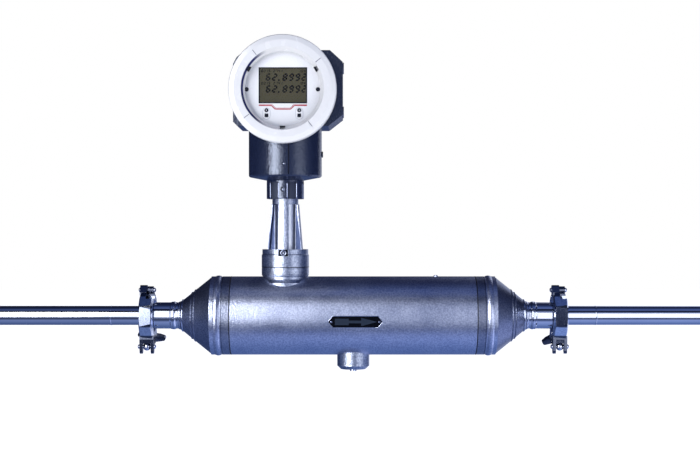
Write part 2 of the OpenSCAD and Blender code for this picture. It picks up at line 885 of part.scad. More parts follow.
module display_module() {
    frame = 2;
    gap = 0.1;
    color([0.36, 0.35, 0.25]) at_display() translate([0, lcd_z, plate_z]) {
        translate([gap - lcd_w / 2, gap - lcd_h / 2, -1]) cube([lcd_w - 2 * gap, lcd_h - 2 * gap, 2]);
        translate([-lcd_w / 2 - frame, -lcd_h / 2 - frame, -8])
            cube([lcd_w + 2 * frame, lcd_h + 2 * frame, 7.9]);
    }
}

// Two pill-shaped optical keys on the plate, under the window
module operating_keys() {
    key_w = 9;
    key_h = 14.4;
    color("gainsboro") at_display() for (x = [-21, 21])
        translate([x, -key_z, plate_z + plate_t]) linear_extrude(height = 0.8) {
            for (end = [-1, 1])
                translate([0, end * (key_h - key_w) / 2]) circle(r = key_w / 2);
            square([key_w, key_h - key_w], center = true);
        }
}

module electronics_boards() {
    color("seagreen") at_display() {
        for (d = [20, 42])
            translate([0, 0, d]) cylinder(r = 50, h = 1.6);
        for (a = [45:90:359])
            rotate(a) translate([47, 0, 10]) cylinder(r = 2.5, h = plate_z - 10, $fn = 32);
        translate([-18, -10, 21.6]) cube([22, 22, 4]);
        translate([12, 8, 21.6]) cube([16, 10, 9]);
        translate([-30, -30, 43.6]) cube([12, 18, 7]);
    }
}

module terminal_block() {
    ways = 6;
    pitch = 10;
    color("darkgreen") at_display() translate([0, -8, -30]) difference() {
        translate([-ways * pitch / 2, -9, 0]) cube([ways * pitch, 18, 22]);
        for (i = [0:ways - 1])
            translate([(i - (ways - 1) / 2) * pitch, 0, -1]) cylinder(r = 3, h = 6, $fn = 32);
    }
}

// White front cover: four quarters parted by grooves, a sloping inner edge and three key notches
module front_cover_ring() {
    back = mouth_z - 14;
    lip = ring_front - 9;
    color(white) at_display() difference() {
        rotate_extrude() polygon([
            [mouth_r + 0.4, back], [bezel_r - 1.5, back], [bezel_r, back + 1.5], [bezel_r, ring_front - 4],
            [bezel_r - 1, ring_front - 1.8], [bezel_r - 7, ring_front], [window_r, ring_front],
            [window_r - 5, ring_front - 8], [window_r - 5, lip],
            [54.4, lip], [54.4, glass_z + 1], [55.6, glass_z + 1],
            [55.6, mouth_z + 0.4], [mouth_r + 0.4, mouth_z + 0.4]
        ]);
        for (a = [38:90:359])
            rotate(a) translate([window_r - 1, -0.5, ring_front - 0.9])
                cube([bezel_r - window_r + 2, 1, 2]);
        for (a = [30:120:359])
            rotate(a) translate([window_r - 3, 0, ring_front - 4]) cube([4, 6, 8], center = true);
    }
}

module front_glass() {
    color([0.8, 0.9, 1, 0.3]) at_display() translate([0, 0, glass_z]) cylinder(r = 54.2, h = 5.8);
}

// Blind rear cover with six wrench lugs round its edge
module rear_cover() {
    back = 82;
    rim_r = 64;
    color(navy) at_display() mirror([0, 0, 1]) {
        rotate_extrude() polygon([
            [rear_mouth_r + 0.4, 60], [rim_r, 60], [rim_r, back - 4], [rim_r - 3, back], [0, back],
            [0, back - 5], [rear_mouth_r - 6, back - 5],
            [rear_mouth_r - 6, 74.4], [rear_mouth_r + 0.4, 70.4]
        ]);
        for (a = [0:60:359])
            rotate(a) translate([rim_r - 1, -8, 62]) cube([4, 16, back - 66]);
    }
}

// ---------- drawing ----------

pipe(-1);  // inlet_pipe
pipe(1);  // outlet_pipe
pipe_ferrule(-1);  // inlet_pipe_ferrule
pipe_ferrule(1);  // outlet_pipe_ferrule
gasket(-1);  // inlet_gasket
gasket(1);  // outlet_gasket
throat(-1);  // inlet_throat
throat(1);  // outlet_throat
end_cone(-1);  // inlet_end_cone
end_cone(1);  // outlet_end_cone
end_ring(-1);  // inlet_end_ring
end_ring(1);  // outlet_end_ring
body_shell();
flow_splitter(-1);  // inlet_flow_splitter
flow_splitter(1);  // outlet_flow_splitter
measuring_tube(-tube_y);  // front_measuring_tube
measuring_tube(tube_y);  // rear_measuring_tube
brace_plates(-1);  // inlet_brace_plates
brace_plates(1);  // outlet_brace_plates
coil(0, 8);  // drive_coil
magnet(0);  // drive_magnet
coil(-pickup_x, 7);  // inlet_pickup_coil
magnet(-pickup_x);  // inlet_pickup_magnet
coil(pickup_x, 7);  // outlet_pickup_coil
magnet(pickup_x);  // outlet_pickup_magnet
tube_temperature_sensor();
drain_boss();
drain_plug();
flow_arrow_plate();
neck_socket();
wire_feedthrough();
neck_key_screw();
ribbed_neck();
clamp_hinge_pins();
clamp_bolt_pins();
clamp_front(-1);  // inlet_clamp_front
clamp_rear(-1);  // inlet_clamp_rear
swing_bolt(-1);  // inlet_swing_bolt
wing_nut(-1, 10);  // inlet_wing_nut
clamp_front(1);  // outlet_clamp_front
clamp_rear(1);  // outlet_clamp_rear
swing_bolt(1);  // outlet_swing_bolt
wing_nut(1, -32);  // outlet_wing_nut
swivel_collar();
collar_set_screw();
head_housing();
housing_screws();
conduit_plugs();
cover_seals();
display_plate();
display_module();
operating_keys();
electronics_boards();
terminal_block();
front_cover_ring();
front_glass();
rear_cover();
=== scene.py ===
import json
import math

import bmesh
import bpy
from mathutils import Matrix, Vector


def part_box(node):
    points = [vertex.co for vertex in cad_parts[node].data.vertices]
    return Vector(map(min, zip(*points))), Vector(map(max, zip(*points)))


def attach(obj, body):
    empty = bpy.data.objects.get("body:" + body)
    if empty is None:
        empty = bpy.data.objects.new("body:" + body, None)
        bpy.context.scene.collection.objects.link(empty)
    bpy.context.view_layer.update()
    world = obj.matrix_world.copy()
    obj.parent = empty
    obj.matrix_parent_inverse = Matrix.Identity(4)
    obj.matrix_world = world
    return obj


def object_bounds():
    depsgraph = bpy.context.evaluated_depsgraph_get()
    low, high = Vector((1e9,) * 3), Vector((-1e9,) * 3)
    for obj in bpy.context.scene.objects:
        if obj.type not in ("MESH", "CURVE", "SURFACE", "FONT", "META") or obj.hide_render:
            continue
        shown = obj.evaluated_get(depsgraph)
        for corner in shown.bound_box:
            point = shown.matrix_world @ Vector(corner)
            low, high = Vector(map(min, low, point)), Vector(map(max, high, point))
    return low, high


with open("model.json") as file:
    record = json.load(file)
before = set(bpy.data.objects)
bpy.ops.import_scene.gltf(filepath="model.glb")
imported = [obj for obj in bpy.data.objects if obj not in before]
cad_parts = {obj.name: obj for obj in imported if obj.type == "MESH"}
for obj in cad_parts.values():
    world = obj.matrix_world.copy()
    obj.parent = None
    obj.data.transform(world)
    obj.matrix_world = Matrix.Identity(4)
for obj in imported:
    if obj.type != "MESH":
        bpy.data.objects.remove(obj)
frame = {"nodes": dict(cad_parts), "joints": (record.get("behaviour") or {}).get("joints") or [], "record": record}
cad_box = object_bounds()

MM = 0.001
X, Y, Z = 0, 1, 2


def middle(box, axis):
    return (box[0][axis] + box[1][axis]) / 2


def half_size(box, axis):
    return (box[1][axis] - box[0][axis]) / 2


# Places that the frame gives, in metres
plate_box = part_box("display_plate")
ring_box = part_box("front_cover_ring")
lcd_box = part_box("display_module")
keys_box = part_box("operating_keys")
shell_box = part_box("body_shell")
socket_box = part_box("neck_socket")
boss_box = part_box("drain_boss")
collar_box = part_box("swivel_collar")
arrow_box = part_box("flow_arrow_plate")
set_screw_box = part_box("collar_set_screw")
key_screw_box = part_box("neck_key_screw")
column_screws_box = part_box("housing_screws")

middle_x = middle(cad_box, X)
neck_x = middle(socket_box, X)
head_z = middle(ring_box, Z)
shell_r = shell_box[1][Y]
socket_r = half_size(socket_box, X)
plate_y = plate_box[0][Y]
lcd_y = lcd_box[0][Y]


# ---------- camera ----------

CAMERA_DISTANCE = 2.0
CAMERA_HEIGHT = 0.109
CAMERA_SHIFT_X = -0.0044
LENS = 77.3
SENSOR_WIDTH = 36.0
CLIP_END = 50.0


def add_camera():
    data = bpy.data.cameras.new("camera")
    data.lens = LENS
    data.sensor_width = SENSOR_WIDTH
    data.clip_end = CLIP_END
    camera = bpy.data.objects.new("camera", data)
    bpy.context.collection.objects.link(camera)
    camera.location = (middle_x + CAMERA_SHIFT_X, -CAMERA_DISTANCE, CAMERA_HEIGHT)
    camera.rotation_euler = (math.radians(90), 0, 0)
    bpy.context.scene.camera = camera


# ---------- node helpers ----------

class Nodes:
    """A short way to write a node tree: each call adds nodes, sets inputs and gives outputs."""

    # Nearly all the values of a noise lie between these two
    NOISE_LOW, NOISE_HIGH = 0.3, 0.7

    def __init__(self, tree):
        self.tree = tree
        tree.nodes.clear()

    def add(self, kind, inputs=None, **settings):
        """A node with its settings. Each input is linked to a socket or set to a value."""
        node = self.tree.nodes.new(kind)
        for key, value in settings.items():
            setattr(node, key, value)
        for key, value in (inputs or {}).items():
            socket = node.inputs[key]
            if isinstance(value, bpy.types.NodeSocket):
                self.tree.links.new(value, socket)
            elif socket.type == "RGBA":
                socket.default_value = (*value, 1.0)
            else:
                socket.default_value = value
        return node

    def math(self, operation, a, b=0.0):
        return self.add("ShaderNodeMath", {0: a, 1: b}, operation=operation).outputs[0]

    def step(self, value, low, high, to_low=0.0, to_high=1.0):
        """Smooth step from to_low at low to to_high at high."""
        inputs = {"Value": value, "From Min": low, "From Max": high,
                  "To Min": to_low, "To Max": to_high}
        node = self.add("ShaderNodeMapRange", inputs, interpolation_type="SMOOTHSTEP")
        return node.outputs["Result"]

    def window(self, value, low, high, edge):
        """1 between low and high and 0 outside, with soft edges."""
        rise = self.step(value, low - edge, low + edge)
        fall = self.step(value, high - edge, high + edge, 1.0, 0.0)
        return self.math("MULTIPLY", rise, fall)

    def noise(self, vector, scale, detail=2.0, roughness=0.5):
        inputs = {"Vector": vector, "Scale": scale, "Detail": detail, "Roughness": roughness}
        return self.add("ShaderNodeTexNoise", inputs).outputs["Fac"]

    def vary(self, noise, low, high):
        """A value that goes from low to high with a noise."""
        return self.step(noise, self.NOISE_LOW, self.NOISE_HIGH, low, high)

    def place(self, centre):
        """Object coordinates about a centre: x, y and z."""
        whole = self.add("ShaderNodeTexCoord").outputs["Object"]
        inputs = {0: whole, 1: centre}
        moved = self.add("ShaderNodeVectorMath", inputs, operation="SUBTRACT").outputs[0]
        axes = self.add("ShaderNodeSeparateXYZ", {"Vector": moved}).outputs
        return axes["X"], axes["Y"], axes["Z"]

    def distance(self, a, b):
        squares = self.math("ADD", self.math("MULTIPLY", a, a), self.math("MULTIPLY", b, b))
        return self.math("SQRT", squares)

    def stretched(self, scale=(1, 1, 1)):
        """Object coordinates scaled by a vector."""
        place = self.add("ShaderNodeTexCoord").outputs["Object"]
        inputs = {"Vector": place, "Scale": scale}
        return self.add("ShaderNodeMapping", inputs).outputs["Vector"]

    def ramp(self, value, stops):
        """A colour ramp through (position, colour) stops in rising order."""
        node = self.add("ShaderNodeValToRGB", {"Fac": value})
        marks = node.color_ramp.elements
        while len(marks) < len(stops):
            marks.new(0.5)
        for mark, (position, _) in zip(marks, stops):
            mark.position = position
        for mark, (_, colour) in zip(marks, stops):
            mark.color = (*colour, 1.0)
        return node.outputs["Color"]

    def blend(self, factor, a, b):
        """Colour a where the factor is 0 and colour b where it is 1."""
        inputs = {0: factor, 6: a, 7: b}
        return self.add("ShaderNodeMix", inputs, data_type="RGBA").outputs[2]


# ---------- stage and light ----------

FLOOR_Z = cad_box[0][Z] - 0.12
STAGE_HALF = 6.0

BLACK = (0.0, 0.0, 0.0)
WHITE = (1.0, 1.0, 1.0)
DARK = (0.012, 0.018, 0.045)
BACKDROP = (0.75, 0.80, 1.00)
SIDE_BLUE = (0.78, 0.90, 1.38)
PANEL_COLOUR = (0.98, 0.985, 1.0)
# Colour of the room by pitch, in degrees from straight ahead of the display: the floor is at
# -90 and the ceiling at 90
ROOM = (
    (-180, (0.05, 0.07, 0.17)), (-140, (0.13, 0.21, 0.48)), (-107, (0.15, 0.23, 0.50)),
    (-84, (0.24, 0.34, 0.68)), (-58, (0.34, 0.44, 0.82)), (-46, (0.17, 0.23, 0.46)),
    (-36, (0.02, 0.03, 0.08)), (-26, (0.20, 0.25, 0.42)), (38, (0.20, 0.25, 0.42)),
    (45, DARK), (60, DARK), (67, (0.14, 0.20, 0.46)), (84, (0.056, 0.092, 0.245)),
    (100, (0.020, 0.031, 0.088)), (122, (0.015, 0.02, 0.06)), (180, (0.02, 0.03, 0.08)),
)
# Side panel and backdrop of the room: from, to and softness in degrees, in height and around
SIDE_RISE, SIDE_AROUND = (-60.0, -13.0, 6.0), (60.0, 130.0, 8.0)
REAR_RISE, REAR_AROUND = (-30.0, 40.0, 6.0), (140.0, 170.0, 6.0)
# The room's left half is dimmer: the X of the direction at both ends of the change, and how much
DIM_X, FULL_X, DIM_LIGHT = -0.16, -0.05, 0.65

# Light panels that face the meter's front: name, y, left, right, foot and top from the meter's
# middle, radiance, and which rays see them
PANELS = (
    ("key_panel", -1.5, -1.58, -0.64, -0.34, 1.30, 9.5, "glossy"),
    ("key_fill", -1.5, -1.64, -0.70, -0.34, 1.30, 5.2, "diffuse"),
    ("left_panel", -1.5, -0.64, -0.28, -0.34, 1.30, 1.65, "both"),
    ("right_panel", -0.65, 0.31, 1.35, -0.30, 0.32, 1.42, "both"),
)


def add_floor():
    """A floor that glows white and throws nothing on the meter's steel."""
    mesh = bpy.data.meshes.new("floor")
    h = STAGE_HALF
    corners = [(-h, -h, FLOOR_Z), (h, -h, FLOOR_Z), (h, h, FLOOR_Z), (-h, h, FLOOR_Z)]
    mesh.from_pydata(corners, [], [(0, 1, 2, 3)])
    floor = bpy.data.objects.new("floor", mesh)
    bpy.context.collection.objects.link(floor)
    floor.visible_glossy = False
    floor.visible_shadow = False
    paint, n = new_material("floor_paint")
    cloud = n.noise(n.stretched(), 3.0)
    colour = n.blend(cloud, (0.86, 0.87, 0.88), (0.90, 0.91, 0.92))
    finish_material(n, {"Base Color": colour, "Roughness": 0.9,
                        "Emission Color": WHITE, "Emission Strength": 1.0})
    mesh.materials.append(paint)


def add_world():
    """A blue studio room that only reflections see. The camera sees plain white."""
    world = bpy.data.worlds.new("studio")
    bpy.context.scene.world = world
    world.use_nodes = True
    n = Nodes(world.node_tree)
    direction = n.add("ShaderNodeTexCoord").outputs["Generated"]
    axes = n.add("ShaderNodeSeparateXYZ", {"Vector": direction}).outputs
    toward = n.math("MULTIPLY", axes["Y"], -1.0)
    degrees = 180 / math.pi
    pitch = n.math("MULTIPLY", n.math("ARCTAN2", axes["Z"], toward), degrees)
    azimuth = n.math("MULTIPLY", n.math("ARCTAN2", axes["X"], toward), degrees)
    rise = n.math("MULTIPLY", n.math("ARCSINE", axes["Z"]), degrees)
    turned = n.math("ADD", n.math("DIVIDE", pitch, 360.0), 0.5)
    room = n.ramp(turned, [((angle + 180) / 360, colour) for angle, colour in ROOM])
    room = n.blend(n.step(axes["X"], DIM_X, FULL_X, DIM_LIGHT, 1.0), BLACK, room)
    side = n.math("MULTIPLY", n.window(rise, *SIDE_RISE), n.window(azimuth, *SIDE_AROUND))
    rear = n.math("MULTIPLY", n.window(rise, *REAR_RISE), n.window(azimuth, *REAR_AROUND))
    room = n.blend(side, room, SIDE_BLUE)
    room = n.blend(rear, room, BACKDROP)
    seen = n.add("ShaderNodeLightPath").outputs["Is Camera Ray"]
    shown = n.blend(seen, room, WHITE)
    back = n.add("ShaderNodeBackground", {"Color": shown, "Strength": 1.0})
    n.add("ShaderNodeOutputWorld", {"Surface": back.outputs[0]})


def add_panels():
    """Soft boxes at both sides of the camera, with a dark gap between them."""
    for name, y, left, right, foot, top, radiance, seen_by in PANELS:
        data = bpy.data.lights.new(name, "AREA")
        data.shape = "RECTANGLE"
        data.size = right - left
        data.size_y = top - foot
        data.energy = radiance * math.pi * data.size * data.size_y
        data.color = PANEL_COLOUR
        panel = bpy.data.objects.new(name, data)
        bpy.context.collection.objects.link(panel)
        panel.location = (middle_x + (left + right) / 2, y, (foot + top) / 2)
        panel.rotation_euler = (math.radians(90), 0, 0)
        panel.visible_camera = False
        panel.visible_glossy = seen_by != "diffuse"
        panel.visible_diffuse = seen_by != "glossy"


# ---------- materials ----------

# Painted shade that darkens parts of the steel, and the blue tint of the paint's shine
PAINTED_SHADE = (0.020, 0.028, 0.060)
PAINT_SHINE = (0.74, 0.82, 1.0)
# How much of cast metal's tone its grain makes, and the tones that show dark and light
GRAIN_SHARE = 0.88
DARK_TONE, LIGHT_TONE = 0.36, 0.64
EDGE_SAMPLES = 4


def new_material(name):
    paint = bpy.data.materials.new(name)
    paint.use_nodes = True
    return paint, Nodes(paint.node_tree)


def finish_material(n, inputs, height=None, depth=0.0, strength=0.0, edge=0.0):
    """Joins a principled shader to the output, with a bump and soft edges where given."""
    if height is not None:
        bump = n.add("ShaderNodeBump",
                     {"Height": height, "Distance": depth, "Strength": strength})
        if edge:
            soft = n.add("ShaderNodeBevel", {"Radius": edge}, samples=EDGE_SAMPLES)
            n.tree.links.new(soft.outputs["Normal"], bump.inputs["Normal"])
        inputs["Normal"] = bump.outputs["Normal"]
    shader = n.add("ShaderNodeBsdfPrincipled", inputs)
    n.add("ShaderNodeOutputMaterial", {"Surface": shader.outputs[0]})


def drawn_steel(name, dark, light, rough, lines=(40, 900, 900)):
    """Smooth metal with faint lines along one axis."""
    paint, n = new_material(name)
    line = n.noise(n.stretched(lines), 1.0, 3.0)
    cloud = n.noise(n.stretched(), 60.0)
    colour = n.blend(cloud, dark, light)
    gloss = n.vary(line, rough * 0.8, rough * 1.25)
    finish_material(n, {"Base Color": colour, "Metallic": 1.0, "Roughness": gloss},
                    line, 0.02 * MM, 0.4)
    return paint


def grained_steel(name, dark, light, rough, grain, depth, strength=0.6, edge=0.0, shade=None):
    """Blasted or cast metal: a fine grain in height and tone over slow clouds."""
    paint, n = new_material(name)
    place = n.stretched()
    fine = n.noise(place, grain, 2.0, 0.7)
    cloud = n.noise(place, 25.0)
    tone = n.math("ADD", n.math("MULTIPLY", fine, GRAIN_SHARE),
                  n.math("MULTIPLY", cloud, 1 - GRAIN_SHARE))
    colour = n.blend(n.step(tone, DARK_TONE, LIGHT_TONE), dark, light)
    if shade is not None:
        colour = shade(n, colour)
    gloss = n.vary(cloud, rough * 0.9, rough * 1.1)
    finish_material(n, {"Base Color": colour, "Metallic": 1.0, "Roughness": gloss},
                    fine, depth, strength, edge)
    return paint


def powder_coat(name, dark, light, rough, edge, recess=None):
    """Glossy paint with the fine waves of a powder coat. A recess is duller."""
    paint, n = new_material(name)
    place = n.stretched()
    fine = n.noise(place, 380.0, 2.0, 0.6)
    cloud = n.noise(place, 30.0)
    colour = n.blend(cloud, dark, light)
    gloss = n.vary(fine, rough * 0.75, rough * 1.25)
    if recess is not None:
        gloss = n.math("MAXIMUM", gloss, recess(n))
    waves = n.math("ADD", fine, n.noise(place, 300.0, 2.0, 0.6))
    finish_material(n, {"Base Color": colour, "Roughness": gloss,
                        "Specular IOR Level": 1.0, "Specular Tint": PAINT_SHINE},
                    waves, 0.5 * MM, 0.6, edge)
    return paint


def plain_plastic(name, dark, light, rough, shade=None, shine=0.5):
    """Plastic, rubber or print with slow clouds and a very fine grain."""
    paint, n = new_material(name)
    place = n.stretched()
    cloud = n.noise(place, 80.0)
    fine = n.noise(place, 1500.0)
    colour = n.blend(cloud, dark, light)
    if shade is not None:
        colour = shade(n, colour)
    gloss = n.vary(cloud, rough * 0.9, rough * 1.1)
    finish_material(n, {"Base Color": colour, "Roughness": gloss, "Specular IOR Level": shine},
                    fine, 0.03 * MM, 0.4)
    return paint


def clear_glass(name, dark, light, rough, alpha):
    """Nearly clear: a faint mirror over what lies behind it."""
    paint, n = new_material(name)
    cloud = n.noise(n.stretched(), 40.0)
    gloss = n.vary(cloud, rough, rough * 2)
    colour = n.blend(cloud, dark, light)
    finish_material(n, {"Base Color": colour, "Metallic": 1.0, "Roughness": gloss,
                        "Alpha": alpha})
    return paint


def neck_painted_light(n, colour):
    """Painted shade, darkened towards blue, on the webs between the neck's round core and its ribs' edges, and a
    painted highlight on the core's right flank.
    """
    web_painted_shade, flank_painted_highlight = (0.034, 0.050, 0.120), (0.95, 0.97, 1.0)
    foot_z, top_z, foot_r, top_r = 88.0 * MM, 147.6 * MM, 22.6 * MM, 17.4 * MM
    core_r, web_r = 13.8 * MM, 14.6 * MM
    flank_left, flank_right, flank_edge = 5.5 * MM, 14.0 * MM, 1.0 * MM
    soft = 0.2 * MM
    x, y, z = n.place((neck_x, 0.0, 0.0))
    out = n.distance(x, y)
    rib_r = n.step(z, foot_z, top_z, foot_r, top_r)
    core = n.step(out, core_r, web_r, 1.0, 0.0)
    rim = n.step(n.math("SUBTRACT", out, rib_r), -soft, soft)
    below = n.step(z, foot_z - 2 * soft, foot_z + soft, 1.0, 0.0)
    above = n.step(z, top_z - soft, top_z + soft)
    light = n.math("MAXIMUM", n.math("MAXIMUM", core, rim), n.math("MAXIMUM", below, above))
    flank = n.math("MULTIPLY", n.window(x, flank_left, flank_right, flank_edge), core)
    painted_flank = n.blend(n.math("MULTIPLY", flank, 0.85), colour, flank_painted_highlight)
    return n.blend(light, n.blend(0.95, colour, web_painted_shade), painted_flank)


def shell_painted_shade(n, colour):
    """Painted shade on the rolled zone between each seam and the end ring's bulge, and a painted dark line at its
    end where a groove's shadow falls.
    """
    zone_start, zone_end, zone_edge = 162.6 * MM, 172.0 * MM, 0.4 * MM
    line_start, line_end, line_edge = 171.8 * MM, 173.4 * MM, 0.3 * MM
    x, _, _ = n.place((middle_x, 0.0, 0.0))
    out = n.math("ABSOLUTE", x)
    zone = n.math("MULTIPLY", n.window(out, zone_start, zone_end, zone_edge), 0.42)
    line = n.math("MULTIPLY", n.window(out, line_start, line_end, line_edge), 0.75)
    return n.blend(n.math("MAXIMUM", zone, line), colour, PAINTED_SHADE)


def clamp_painted_shade(n, colour):
    """Painted shade on the middle facet, darker towards its foot, and on the ears, against the brighter casting
    between them.
    """
    facet_half, facet_edge = 14.6 * MM, 0.6 * MM
    facet_y, side_y = -31 * MM, -29 * MM
    fade_low, fade_high = -14.0 * MM, 12.0 * MM
    ear_start, ear_full = 25.0 * MM, 26.5 * MM
    _, y, z = n.place((0.0, 0.0, 0.0))
    facet = n.math("MULTIPLY", n.window(z, -facet_half, facet_half, facet_edge),
                   n.step(y, side_y, facet_y))
    fade = n.step(z, fade_low, fade_high, 0.92, 0.86)
    ears = n.step(n.math("ABSOLUTE", z), ear_start, ear_full)
    shaded = n.math("MAXIMUM", n.math("MULTIPLY", facet, fade), n.math("MULTIPLY", ears, 0.88))
    return n.blend(shaded, colour, PAINTED_SHADE)


def arrow_shade(n, colour):
    """Slate blue on the raised arrow."""
    slate = (0.018, 0.026, 0.044)
    plate_out, arrow_out = 0.95 * MM, 1.15 * MM
    _, y, z = n.place((0.0, 0.0, 0.0))
    raised = n.step(n.distance(y, z), shell_r + plate_out, shell_r + arrow_out)
    return n.blend(raised, colour, slate)


def cover_painted_shadow(n, colour):
    """Painted shadow in navy on the left of the cover's inner slope."""
    navy = (0.020, 0.026, 0.110)
    slope_inner, slope_outer, slope_edge = 50.2 * MM, 52.7 * MM, 0.35 * MM
    # How far left a place on the slope is, as a part of its radius
    bare, full = -0.35, -0.72
    x, _, z = n.place((neck_x, 0.0, head_z))
    out = n.distance(x, z)
    side = n.step(n.math("DIVIDE", x, out), bare, full)
    slope = n.window(out, slope_inner, slope_outer, slope_edge)
    return n.blend(n.math("MULTIPLY", side, slope), colour, navy)


def collar_recess(n):
    """Dull floor between the collar's lugs."""
    lug_foot_r, floor_r, floor_rough = 23.4 * MM, 22.6 * MM, 0.7
    x, y, _ = n.place((neck_x, 0.0, 0.0))
    return n.step(n.distance(x, y), lug_foot_r, floor_r, 0.0, floor_rough)


# How each material is made, its name, dark and light colour and roughness, and what else it takes
LOOKS = (
    (drawn_steel, "polished_steel", (0.60, 0.63, 0.72), (0.66, 0.69, 0.78), 0.08, {}),
    (grained_steel, "blasted_steel", (0.40, 0.44, 0.585), (0.635, 0.675, 0.81), 0.315,
     {"grain": 480.0, "depth": 0.4 * MM, "strength": 0.8, "shade": shell_painted_shade}),
    (grained_steel, "cone_steel", (0.14, 0.16, 0.24), (0.26, 0.29, 0.40), 0.36,
     {"grain": 600.0, "depth": 0.2 * MM}),
    (grained_steel, "cast_steel", (0.27, 0.31, 0.41), (0.52, 0.56, 0.67), 0.32,
     {"grain": 420.0, "depth": 0.5 * MM, "strength": 0.8, "edge": 0.5 * MM}),
    (grained_steel, "neck_steel", (0.30, 0.34, 0.44), (0.50, 0.53, 0.65), 0.38,
     {"grain": 420.0, "depth": 0.7 * MM, "strength": 0.8, "edge": 0.4 * MM,
      "shade": neck_painted_light}),
    (grained_steel, "clamp_steel", (0.62, 0.67, 0.80), (0.80, 0.85, 0.98), 0.13,
     {"grain": 350.0, "depth": 0.2 * MM, "edge": 0.5 * MM, "shade": clamp_painted_shade}),
    (grained_steel, "screw_steel", (0.05, 0.06, 0.10), (0.12, 0.14, 0.20), 0.3,
     {"grain": 400.0, "depth": 0.2 * MM}),
    (drawn_steel, "tube_steel", (0.50, 0.53, 0.60), (0.58, 0.61, 0.68), 0.2, {}),
    (drawn_steel, "coil_copper", (0.70, 0.36, 0.15), (0.80, 0.46, 0.22), 0.3,
     {"lines": (900, 40, 900)}),
    (plain_plastic, "sensor_ceramic", (0.70, 0.58, 0.36), (0.80, 0.68, 0.46), 0.4, {}),
    (plain_plastic, "gasket_rubber", (0.012, 0.012, 0.015), (0.022, 0.022, 0.026), 0.6, {}),
    (plain_plastic, "arrow_plate", (0.0006, 0.0008, 0.002), (0.0015, 0.002, 0.005), 0.2,
     {"shade": arrow_shade, "shine": 0.12}),
    (powder_coat, "navy_paint", (0.005, 0.008, 0.022), (0.009, 0.013, 0.036), 0.21,
     {"edge": 0.7 * MM}),
    (powder_coat, "collar_paint", (0.006, 0.010, 0.028), (0.010, 0.015, 0.042), 0.20,
     {"edge": 1.1 * MM, "recess": collar_recess}),
    (grained_steel, "plug_steel", (0.12, 0.14, 0.22), (0.22, 0.25, 0.36), 0.25,
     {"grain": 400.0, "depth": 0.2 * MM, "edge": 0.4 * MM}),
    (plain_plastic, "white_cover", (0.68, 0.685, 0.70), (0.72, 0.725, 0.74), 0.25,
     {"shade": cover_painted_shadow}),
    (plain_plastic, "white_plate", (0.81, 0.82, 0.85), (0.85, 0.86, 0.89), 0.35, {}),
    (plain_plastic, "lcd", (0.064, 0.058, 0.033), (0.076, 0.069, 0.040), 0.12, {"shine": 0.1}),
    (clear_glass, "window_glass", (0.86, 0.90, 1.0), (0.92, 0.95, 1.0), 0.03,
     {"alpha": 0.015}),
    (plain_plastic, "lcd_ink", (0.0008, 0.0008, 0.0006), (0.002, 0.002, 0.0015), 0.15,
     {"shine": 0.05}),
    (plain_plastic, "window_edge", (0.004, 0.004, 0.004), (0.009, 0.009, 0.008), 0.3,
     {"shine": 0.15}),
    (plain_plastic, "red_ink", (0.36, 0.008, 0.014), (0.44, 0.014, 0.024), 0.3, {}),
    (plain_plastic, "black_ink", (0.002, 0.002, 0.004), (0.005, 0.005, 0.008), 0.15, {}),
    (plain_plastic, "groove_grey", (0.16, 0.17, 0.22), (0.22, 0.23, 0.28), 0.5, {}),
    (plain_plastic, "grey_ink", (0.42, 0.44, 0.50), (0.50, 0.52, 0.58), 0.3, {}),
    (grained_steel, "weld_steel", (0.34, 0.38, 0.52), (0.62, 0.66, 0.80), 0.22,
     {"grain": 600.0, "depth": 0.3 * MM}),
    (drawn_steel, "bead_steel", (0.50, 0.54, 0.66), (0.58, 0.62, 0.74), 0.14,
     {"lines": (200, 60, 60)}),
    (drawn_steel, "lug_edge", (0.30, 0.34, 0.48), (0.44, 0.48, 0.62), 0.22,
     {"lines": (900, 900, 40)}),
    (plain_plastic, "seam_shadow", (0.002, 0.002, 0.005), (0.005, 0.006, 0.012), 0.5, {}),
    (plain_plastic, "casting_line", (0.001, 0.002, 0.006), (0.003, 0.004, 0.010), 0.4,
     {"shine": 0.1}),
    (drawn_steel, "edge_steel", (0.55, 0.58, 0.70), (0.62, 0.66, 0.78), 0.2, {}),
    (plain_plastic, "board_green", (0.01, 0.10, 0.03), (0.02, 0.16, 0.05), 0.35, {}),
    (plain_plastic, "terminal_plastic", (0.02, 0.16, 0.06), (0.04, 0.22, 0.08), 0.4, {}),
)

# Nodes that look other than the rest of their slot
OWN_LOOK = {
    "ribbed_neck": "neck_steel",
    "swivel_collar": "collar_paint",
    "collar_set_screw": "screw_steel",
    "housing_screws": "screw_steel",
    "neck_key_screw": "screw_steel",
}


def make_materials():
    return {name: make(name, dark, light, rough, **rest)
            for make, name, dark, light, rough, rest in LOOKS}


def dress_cad():
    """Gives each node of the CAD its own look or its slot's."""
    for part in frame["record"]["subparts"]:
        obj = frame["nodes"].get(part["node"])
        if obj is None:
            continue
        look = OWN_LOOK.get(part["node"], part["material_slot"])
        obj.data.materials.clear()
        obj.data.materials.append(materials[look])


# ---------- mesh helpers ----------

def add_mesh(name, vertices, faces, look, body, smooth=False):
    """A piece from vertices and faces, which rides on a body."""
    mesh = bpy.data.meshes.new(name)
    mesh.from_pydata([tuple(v) for v in vertices], [], faces)
    mesh.validate()
    work = bmesh.new()
    work.from_mesh(mesh)
    bmesh.ops.recalc_face_normals(work, faces=work.faces)
    work.to_mesh(mesh)
    work.free()
    mesh.materials.append(materials[look])
    for face in mesh.polygons:
        face.use_smooth = smooth
    piece = bpy.data.objects.new(name, mesh)
    bpy.context.collection.objects.link(piece)
    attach(piece, body)


